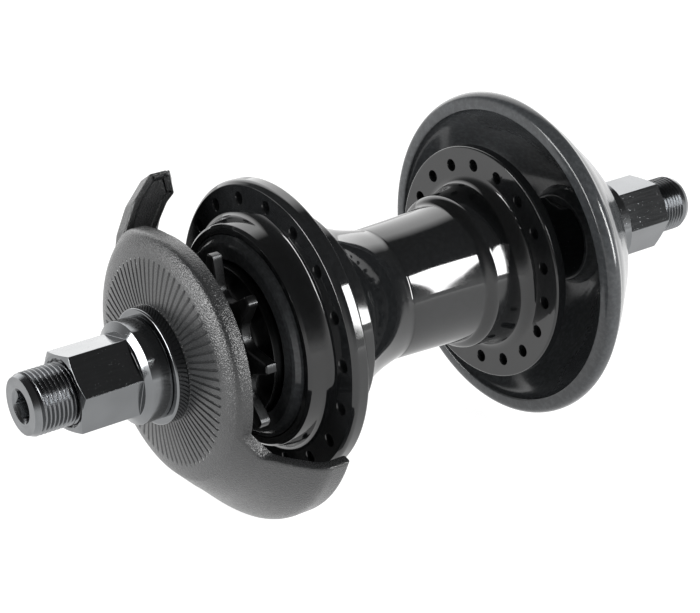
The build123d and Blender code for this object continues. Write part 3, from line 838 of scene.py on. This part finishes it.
def ring_cut_tree(material):
    """Geometry nodes that drill a ring of countersunk holes, parallel to the axle, through a mesh."""
    tree = bpy.data.node_groups.new("ring_of_holes", "GeometryNodeTree")
    names = ("Geometry", "Count", "Ring Radius", "Phase", "Hole Radius", "Sink", "Low", "High")
    tree.interface.new_socket("Geometry", in_out="OUTPUT", socket_type="NodeSocketGeometry")
    for name in names:
        kind = {"Geometry": "Geometry", "Count": "Int"}.get(name, "Float")
        tree.interface.new_socket(name, in_out="INPUT", socket_type="NodeSocket" + kind)
    graph = Graph(tree)
    node = graph.node
    given = graph.outputs(node("NodeGroupInput", {}))[:len(names)]
    shell, count, ring_r, phase, hole_r, sink, low, high = given
    spots = node("GeometryNodeMeshCircle", {"fill_type": "NONE"}, Vertices=count, Radius=ring_r)
    turn = node("ShaderNodeCombineXYZ", {}, Z=phase)
    middle = node("ShaderNodeCombineXYZ", {}, Z=(low + high) * 0.5)
    spots = node("GeometryNodeTransform", {}, Geometry=spots, Rotation=turn, Translation=middle)

    def drilled(solid, tool):
        """The solid less one copy of the tool at each hole's place."""
        copies = node("GeometryNodeInstanceOnPoints", {}, Points=spots, Instance=tool)
        real = node("GeometryNodeRealizeInstances", {}, Geometry=copies)
        along = node("GeometryNodeTransform", {}, Geometry=real, Rotation=(math.pi / 2, 0, 0))
        settings = {"operation": "DIFFERENCE", "solver": "MANIFOLD"}
        return node("GeometryNodeMeshBoolean", settings, Mesh_1=solid, Mesh_2=along)

    overrun, narrowing = 2 * MM, 0.05 * MM
    span = high - low
    drill = node("GeometryNodeMeshCylinder", {}, Vertices=DRILL_SIDES, Radius=hole_r, Depth=span + overrun)
    shell = drilled(shell, drill)
    for way in (-1, 1):
        wide, narrow = hole_r + sink, hole_r - narrowing
        bottom, top = (wide, narrow) if way < 0 else (narrow, wide)
        cone = node("GeometryNodeMeshCone", {}, Vertices=DRILL_SIDES, Radius_Top=top, Radius_Bottom=bottom,
                    Depth=sink * 2.0)
        shift = node("ShaderNodeCombineXYZ", {}, Z=span * (0.5 * way) - sink)
        shell = drilled(shell, node("GeometryNodeTransform", {}, Geometry=cone, Translation=shift))
    real = node("GeometryNodeRealizeInstances", {}, Geometry=shell)
    node("NodeGroupOutput", {}, node("GeometryNodeSetMaterial", {}, Geometry=real, Material=material))
    return tree


def drill_rings(mesh, material, rows):
    """The mesh with each row of holes cut through it. A row holds the values of the tree's inputs."""
    tree = ring_cut_tree(material)
    sockets = [s.identifier for s in tree.interface.items_tree if s.in_out == "INPUT"][1:]
    blank = put_in_scene("drilling_blank", mesh)
    for row in rows:
        modifier = blank.modifiers.new("holes", "NODES")
        modifier.node_group = tree
        for identifier, value in zip(sockets, row):
            modifier[identifier] = value
    bpy.context.view_layer.update()
    ready = blank.evaluated_get(bpy.context.evaluated_depsgraph_get())
    drilled = bpy.data.meshes.new_from_object(ready)
    blank.modifiers.clear()
    bpy.data.objects.remove(blank)
    return smoothed(drilled, SHELL_SHARP)


def shell_profile():
    """The shell's section: housing, drive flange, horn, waist, bell, non-drive flange and bores."""
    front = rounded([
        (13.3, -13.8, 0), (16.22, -13.8, 0.2), (20.3, -25.0, 0), (21.0, -25.0, 0.2), (21.0, -32.2, 0.2),
        (23.5, -32.2, 0.1), (23.5, -39.4, 0.1), (23.85, -39.75, 0.1), (25.15, -39.75, 0.35),
        (25.8, -39.1, 0.5), (26.5, -36.6, 0)])[:-1]
    neck = curve_through([(26.5, -36.6), (27.2, -35.1), (28.6, -34.35)], (0.2, 1), (1, 0.12), 12)
    flange = rounded([
        (28.6, -34.35, 0), (33.6, -34.1, 0.5), (34.6, -33.2, 1.2), (34.6, -30.4, 0.8), (33.9, -29.95, 0.6),
        (25.75, -29.68, 1.0), (25.2, -21.4, 1.6), (24.2, -21.0, 0)], 6)[1:-1]
    horn = curve_through([(24.2, -21.05), (21.6, -18.6), (19.1, -14.0), (17.4, -9.6), (16.1, -4.6),
                          (15.8, -2.8)], (-1, 0.35), (-0.05, 1), 40)
    waist = [(15.84, -2.7), (15.86, -2.5), (16.1, 4.0), (16.4, 12.0), (16.88, 17.0), (16.9, 17.2)]
    step = curve_through([(16.9, 17.2), (17.7, 18.2), (18.85, 19.6)], (0.05, 1), (0.12, 1), 12)[1:]
    bell = curve_through([(18.85, 19.6), (19.0, 23.0), (19.35, 26.2), (20.4, 28.4), (22.3, 29.16)],
                         (0.02, 1), (1, -0.03), 28)[1:]
    rest = rounded([
        (22.3, 29.16, 0), (28.9, 28.98, 0.5), (28.9, 31.6, 0.6), (28.1, 32.4, 0.45), (21.0, 32.8, 0.8),
        (18.6, 34.2, 0.5), (18.6, 35.6, 0.35), (14.0, 35.6, 0.25), (14.0, 27.0, 0.1), (11.6, 27.0, 0.2),
        (11.6, -4.0, 0.2), (13.3, -4.0, 0)])[1:]
    return front + neck + flange + horn + waist + step + bell + rest


# Ring radius, angle of the first hole in degrees, and the flange's two faces.
HOLE_RINGS = ((30.6, 6.0, 29.85, 34.22), (24.5, 16.0, -32.62, -29.12))


def make_shell():
    """The shell with a ring of spoke holes through each flange."""
    sizes = bpy.context.scene.hub_sizes
    holes_a_ring = 18
    blank = build_mesh("shell_blank", [lathe(shell_profile(), circle(SHELL_COLUMNS))], SHELL_SHARP)
    rows = [(holes_a_ring, ring_r * MM, math.radians(phase), sizes.spoke_hole, sizes.hole_sink, low * MM,
             high * MM) for ring_r, phase, low, high in HOLE_RINGS]
    mesh = drill_rings(blank, finish("shell_gloss"), rows)
    mesh.name = "shell_body"
    hand_over(mesh, "shell_group", "shell_gloss", "hub_shell")


def polar(radius, angle):
    return (radius * math.cos(angle), radius * math.sin(angle))


def tooth_outline(teeth, pitch, roller, tip, flat, phase):
    """The sprocket's outline as (x, z) points: round seats, straight flanks and blunt tips."""
    pitch_r = pitch / 2 / math.sin(math.pi / teeth)
    seat_angle, seat_steps = math.radians(64), 8
    half = []
    for k in range(seat_steps + 1):
        lean = seat_angle * k / seat_steps
        half.append((pitch_r - roller * math.cos(lean), roller * math.sin(lean)))
    corner = math.pi / teeth - math.asin(flat / 2 / tip)
    (x0, z0), (x1, z1) = half[-1], polar(tip - 0.45, corner - 0.008)
    half += [(x0 + (x1 - x0) * t, z0 + (z1 - z0) * t) for t in (0.3, 0.6, 0.9, 1.0)]
    half += [polar(tip - 0.1, corner + 0.004), polar(tip, corner + 0.018)]
    points = []
    for i in range(teeth):
        middle = math.radians(phase) + 2 * math.pi * (i + 0.5) / teeth
        ahead = Vector(polar(1, middle))
        across = Vector((-ahead.y, ahead.x))
        points += [tuple(ahead * u - across * v) for u, v in reversed(half)]
        points += [tuple(ahead * u + across * v) for u, v in half[1:]]
    return points


def make_driver():
    """The driver: nine bevelled teeth on a turned body with a relief groove and a bearing neck."""
    front, back, root = -48.4, -45.5, 12.6
    bevel, width = 0.32, back - front
    outline = tooth_outline(teeth=9, pitch=12.7, roller=3.95, tip=22.4, flat=2.1, phase=8.0)
    section = [(bevel, 0.0), (bevel * 0.9, 0.01), (0.03, bevel), (0.0, bevel + 0.04),
               (0.0, width - bevel - 0.04), (0.03, width - bevel), (bevel * 0.9, width - 0.01),
               (bevel, width)]
    columns = inset_columns(outline, section, lambda x, z, depth: (x * MM, (front + depth) * MM, z * MM))
    for (x, z), column in zip(outline, columns):
        angle = math.atan2(z, x)
        column.insert(0, turn_point(root, front, angle))
        column.append(turn_point(root, back, angle))
    hub = rounded([(12.0, -48.9, 0.15), (14.0, -48.9, 0.2), (14.3, front, 0), (14.3, back, 0)])
    groove = curve_through([(14.3, back), (15.2, -44.2), (17.5, -43.1)], (0, 1), (1, 0.25), 12)
    neck = rounded([
        (17.5, -43.1, 0.12), (17.5, -31.0, 0.4), (11.4, -31.0, 0), (11.4, -12.5, 0), (10.9, -12.0, 0),
        (9.0, -12.0, 0), (9.0, -32.9, 0), (10.2, -33.5, 0), (12.0, -33.5, 0), (12.0, -38.5, 0),
        (10.2, -38.5, 0), (10.2, -43.0, 0), (12.0, -43.0, 0)])
    body = lathe(hub + groove[1:-1] + neck, circle(DRIVER_COLUMNS))
    add_piece("driver_cog", [skin(columns), body], "driver_group", "cog_steel", "driver")


def cone_nut_section(side, start):
    """A cone nut's section: round, with two wrench flats beside the guard."""
    radius, half_across, flat_start, face = 10.6, 9.5, 51.0, 54.98

    def section(angle):
        flat = min(radius, half_across / max(abs(math.sin(angle)), 1e-6))
        return on_side(side, rounded([
            (SLIDE_FIT_R, start, 0), (9.7, start, 0.3), (radius, start + 0.9, 0.3),
            (radius, flat_start, 0.0), (flat, flat_start + 0.01, 0), (flat, 54.6, 0.1),
            (flat - 0.3, face, 0.1), (SLIDE_FIT_R, face, 0)]))

    return section


def make_rings():
    """Dust rings, cone nuts and the non-drive spacer that show between the guards and the shell."""
    lip = rounded([
        (18.0, -39.4, 0), (18.0, -41.0, 0.3), (21.3, -41.1, 0.25), (21.95, -40.8, 0.4), (22.9, -39.8, 0.4),
        (23.45, -39.6, 0), (23.45, -39.25, 0), (20.0, -39.25, 0)])
    cap = rounded([
        (9.6, 34.3, 0), (13.2, 34.3, 0), (13.2, 34.05, 0), (13.95, 34.05, 0), (13.95, 35.4, 0.2),
        (13.4, 36.2, 0.3), (9.6, 35.6, 0.15)])
    spacer = rounded([
        (SLIDE_FIT_R, 34.02, 0.2), (9.2, 34.02, 0.3), (9.2, 44.98, 0.3), (SLIDE_FIT_R, 44.98, 0.2)])
    drive_cone, non_drive_cone = cone_nut_section(-1, 49.6), cone_nut_section(1, 45.0)
    rows = (
        ("drive_dust_lip", lip, "shell_group", "disc_gloss", "drive_dust_ring"),
        ("non_drive_dust_lip", cap, "shell_group", "seal_rubber", "non_drive_dust_cap"),
        ("non_drive_sleeve", spacer, "axle_group", "spacer_aluminium", "non_drive_spacer"),
        ("drive_cone_turned", drive_cone, "axle_group", "spacer_aluminium", "drive_cone_nut"),
        ("non_drive_cone_turned", non_drive_cone, "axle_group", "nut_chrome", "non_drive_cone_nut"),
    )
    for name, profile, body, slot, node in rows:
        add_piece(name, [lathe(profile, circle(RING_COLUMNS))], body, slot, node)


def finish_inner_nodes():
    """Bearing parts, clutch, spring and spacers keep their CAD shape and take their own metal."""
    slots = {row["node"]: row["material_slot"] for row in frame["record"]["subparts"]}
    for name, node in frame["nodes"].items():
        if not node.hide_render:
            node.data.materials.clear()
            node.data.materials.append(finish(slots[name]))


# The stage, in metres and watts.
FLOOR_GAP = 0.0004
FLOOR_SIZE = 6.0
FLOOR_MATT, FLOOR_GLOW, FLOOR_GLOW_SEEN = 0.35, 0.85, 0.08
WHITE = (1.0, 1.0, 1.0, 1.0)
WALL_WAY = (-0.85, 0.44, 0.28)
WALL_LIGHT = 2.2
LAMPS = (
    ("right_softbox", (0.64, 0.45, 0.28), (0.14, 0.50), 5.2),
    ("left_softbox", (-0.17, -0.68, 0.10), (0.46, 0.22), 3.8),
)


def aim_camera(view):
    """The photograph's camera, from its direction, distance and the offset of its centre."""
    level = math.cos(view.elevation)
    back = Vector((math.sin(view.azimuth) * level, -math.cos(view.azimuth) * level, math.sin(view.elevation)))
    right = Vector((math.cos(view.azimuth), math.sin(view.azimuth), 0))
    up = back.cross(right)
    data = bpy.data.cameras.new("photo_camera")
    data.sensor_width = 36.0
    data.lens = view.lens
    data.clip_start, data.clip_end = 0.01, 20.0
    camera = put_in_scene("photo_camera", data)
    place = back * view.distance + right * view.shift_right + up * view.shift_up
    camera.matrix_world = Matrix.Translation(place) @ Matrix((right, up, back)).transposed().to_4x4()
    bpy.context.scene.camera = camera


def soft_lamp(name, place, size, power):
    """A soft rectangular lamp aimed at the middle of the hub. The camera doesn't see it."""
    data = bpy.data.lights.new(name, "AREA")
    data.shape = "RECTANGLE"
    data.size, data.size_y = size
    data.energy = power
    lamp = put_in_scene(name, data)
    lamp.visible_camera = False
    lamp.location = place
    lamp.rotation_euler = (-Vector(place)).to_track_quat("-Z", "Y").to_euler()


def make_floor():
    """A plain white floor just under the hub, that keeps its shadow."""
    low, half = CAD_BOX[0][2] - FLOOR_GAP, FLOOR_SIZE / 2
    mesh = bpy.data.meshes.new("floor")
    corners = [(-half, -half, low), (half, -half, low), (half, half, low), (-half, half, low)]
    mesh.from_pydata(corners, [], [(0, 1, 2, 3)])
    floor = put_in_scene("floor", mesh)
    white = new_finish("floor_white")
    matt = white.node("ShaderNodeBsdfDiffuse", {}, grey(FLOOR_MATT))
    strength = white.background_seen() * FLOOR_GLOW_SEEN + FLOOR_GLOW
    glow = white.node("ShaderNodeEmission", {}, WHITE, strength)
    white.node("ShaderNodeOutputMaterial", {}, white.node("ShaderNodeAddShader", {}, matt, glow))
    mesh.materials.append(white.owner)


def make_world():
    """The light tent: white behind and low all round, a bright wall on the left, dark overhead."""
    world = bpy.data.worlds.new("tent")
    bpy.context.scene.world = world
    world.use_nodes = True
    tent = Graph(world.node_tree)
    way = tent.node("ShaderNodeTexCoord", {})
    height = tent.split(way)[2]
    towards_wall = tent.node("ShaderNodeVectorMath", {"operation": "DOT_PRODUCT"}, way, WALL_WAY, out=1)
    sweep = tent.ramp(height, (0.02, 1.0), (0.16, 0.45), (0.32, 0.16), (0.55, 0.08))
    wall = tent.ramp(towards_wall, (0.70, 0.0), (0.86, 1.0))
    light = tent.maths("MAXIMUM", sweep, wall * WALL_LIGHT)
    seen = tent.node("ShaderNodeLightPath", {})
    strength = seen + (1 - seen) * light
    tent.node("ShaderNodeOutputWorld", {}, tent.node("ShaderNodeBackground", {}, WHITE, strength))


def make_stage():
    make_floor()
    make_world()
    for lamp in LAMPS:
        soft_lamp(*lamp)
    aim_camera(bpy.context.scene.hub_view)
    bpy.context.scene.view_settings.view_transform = "Standard"


# Keywords that the properties below share.
LENGTH = {"subtype": "DISTANCE", "unit": "LENGTH"}
COLOUR = {"subtype": "COLOR", "size": 3, "min": 0, "max": 1}


class HubSizes(bpy.types.PropertyGroup):
    """Sizes of the details that are made here."""

    thread_pitch: bpy.props.FloatProperty(
        name="Thread pitch", description="Distance between two crests of the axle thread",
        default=0.001, min=0.0005, max=0.002, **LENGTH)
    thread_depth: bpy.props.FloatProperty(
        name="Thread depth", description="Height of the axle thread",
        default=0.0006, min=0.0001, max=0.001, **LENGTH)
    groove_count: bpy.props.IntProperty(
        name="Guard grooves", description="Number of radial grooves on the guard",
        default=72, min=12, max=120)
    groove_depth: bpy.props.FloatProperty(
        name="Groove depth", description="Depth of the guard's radial grooves",
        default=0.00035, min=0.0, max=0.0008, **LENGTH)
    guard_edge: bpy.props.FloatProperty(
        name="Guard edge", description="Radius of the guard's moulded edges",
        default=0.0007, min=0.0002, max=0.0012, **LENGTH)
    spoke_hole: bpy.props.FloatProperty(
        name="Spoke hole", description="Radius of the spoke holes",
        default=0.00135, min=0.0010, max=0.0016, **LENGTH)
    hole_sink: bpy.props.FloatProperty(
        name="Countersink", description="Width of the countersink round each spoke hole",
        default=0.0004, min=0.0, max=0.0006, **LENGTH)


class HubColours(bpy.types.PropertyGroup):
    """Colours of the main finishes. The green share of a colour sets its finish's grey level."""

    guard: bpy.props.FloatVectorProperty(
        name="Guard", description="Nylon of the drive-side guard",
        default=(0.024, 0.027, 0.030), **COLOUR)
    shell: bpy.props.FloatVectorProperty(
        name="Shell", description="Gloss black of the shell",
        default=(0.010, 0.011, 0.012), **COLOUR)
    disc: bpy.props.FloatVectorProperty(
        name="Dish", description="Gloss black of the non-drive guard",
        default=(0.050, 0.053, 0.056), **COLOUR)
    nut: bpy.props.FloatVectorProperty(
        name="Nuts", description="Dark chrome of the nuts and washers",
        default=(0.18, 0.19, 0.20), **COLOUR)


class HubView(bpy.types.PropertyGroup):
    """The photograph's camera."""

    azimuth: bpy.props.FloatProperty(
        name="Azimuth", description="Camera's direction round the hub", default=math.radians(53.235),
        subtype="ANGLE")
    elevation: bpy.props.FloatProperty(
        name="Elevation", description="Camera's height angle", default=math.radians(25.12), subtype="ANGLE")
    distance: bpy.props.FloatProperty(
        name="Distance", description="Camera's distance from the middle of the axle", default=0.450209,
        unit="LENGTH")
    shift_right: bpy.props.FloatProperty(
        name="Aim right", description="Sideways offset of the aim", default=-0.007711, unit="LENGTH")
    shift_up: bpy.props.FloatProperty(
        name="Aim up", description="Upward offset of the aim", default=-0.003365, unit="LENGTH")
    lens: bpy.props.FloatProperty(name="Lens", description="Focal length in millimetres", default=98.277)


class HUB_OT_axle(bpy.types.Operator):
    """Cut both axle threads and the key sockets"""

    bl_idname = "hub.axle"
    bl_label = "Axle"

    def execute(self, context):
        make_axle()
        return {"FINISHED"}


class HUB_OT_nuts(bpy.types.Operator):
    """Make the axle nuts and washers of both sides"""

    bl_idname = "hub.nuts"
    bl_label = "Axle nuts and washers"

    def execute(self, context):
        for side, prefix, phase in ((-1, "drive", DRIVE_NUT_TURN), (1, "non_drive", NON_DRIVE_NUT_TURN)):
            make_nut(side, phase, f"{prefix}_nut_plated", f"{prefix}_nut_body", f"{prefix}_axle_nut")
            make_washer(side, f"{prefix}_washer_plated", f"{prefix}_washer_body", f"{prefix}_washer")
        return {"FINISHED"}


class HUB_OT_drive_guard(bpy.types.Operator):
    """Mould the drive-side guard with its radial grooves, skirt and prong"""

    bl_idname = "hub.drive_guard"
    bl_label = "Drive-side guard"

    def execute(self, context):
        make_drive_guard()
        return {"FINISHED"}


class HUB_OT_non_drive_guard(bpy.types.Operator):
    """Turn the dished guard of the other side"""

    bl_idname = "hub.non_drive_guard"
    bl_label = "Non-drive guard"

    def execute(self, context):
        make_non_drive_guard()
        return {"FINISHED"}


class HUB_OT_shell(bpy.types.Operator):
    """Turn the shell and drill both rings of spoke holes"""

    bl_idname = "hub.shell"
    bl_label = "Hub shell"

    def execute(self, context):
        make_shell()
        return {"FINISHED"}


class HUB_OT_driver(bpy.types.Operator):
    """Cut the driver and its nine teeth"""

    bl_idname = "hub.driver"
    bl_label = "Driver"

    def execute(self, context):
        make_driver()
        return {"FINISHED"}


class HUB_OT_rings(bpy.types.Operator):
    """Make dust rings, cone nuts and the sleeve"""

    bl_idname = "hub.rings"
    bl_label = "Rings and cone nuts"

    def execute(self, context):
        make_rings()
        return {"FINISHED"}


class HUB_OT_inner_parts(bpy.types.Operator):
    """Give the bearings, clutch and spring their metals"""

    bl_idname = "hub.inner_parts"
    bl_label = "Inner parts"

    def execute(self, context):
        finish_inner_nodes()
        return {"FINISHED"}


class HUB_OT_stage(bpy.types.Operator):
    """Set the floor, soft light and the photograph's camera"""

    bl_idname = "hub.stage"
    bl_label = "Stage"

    def execute(self, context):
        make_stage()
        return {"FINISHED"}


OPERATORS = (HUB_OT_axle, HUB_OT_nuts, HUB_OT_drive_guard, HUB_OT_non_drive_guard, HUB_OT_shell,
             HUB_OT_driver, HUB_OT_rings, HUB_OT_inner_parts, HUB_OT_stage)


class HUB_PT_panel(bpy.types.Panel):
    """Sizes, colours and the steps that build the hub"""

    bl_idname = "HUB_PT_panel"
    bl_label = "Freecoaster hub"
    bl_space_type = "VIEW_3D"
    bl_region_type = "UI"
    bl_category = "Hub"

    def draw(self, context):
        layout = self.layout
        for group in (context.scene.hub_sizes, context.scene.hub_colours, context.scene.hub_view):
            box = layout.box()
            for name in group.bl_rna.properties.keys():
                if name not in ("rna_type", "name"):
                    box.prop(group, name)
        for operator in OPERATORS:
            layout.operator(operator.bl_idname)


GROUPS = (("hub_sizes", HubSizes), ("hub_colours", HubColours), ("hub_view", HubView))


def register():
    for name, group in GROUPS:
        bpy.utils.register_class(group)
        setattr(bpy.types.Scene, name, bpy.props.PointerProperty(type=group))
    for operator in OPERATORS:
        bpy.utils.register_class(operator)
    bpy.utils.register_class(HUB_PT_panel)


def unregister():
    bpy.utils.unregister_class(HUB_PT_panel)
    for operator in reversed(OPERATORS):
        bpy.utils.unregister_class(operator)
    for name, group in reversed(GROUPS):
        delattr(bpy.types.Scene, name)
        bpy.utils.unregister_class(group)


def main():
    register()
    bpy.ops.hub.axle()
    bpy.ops.hub.nuts()
    bpy.ops.hub.drive_guard()
    bpy.ops.hub.non_drive_guard()
    bpy.ops.hub.shell()
    bpy.ops.hub.driver()
    bpy.ops.hub.rings()
    bpy.ops.hub.inner_parts()
    bpy.ops.hub.stage()


if __name__ == "__main__":
    main()
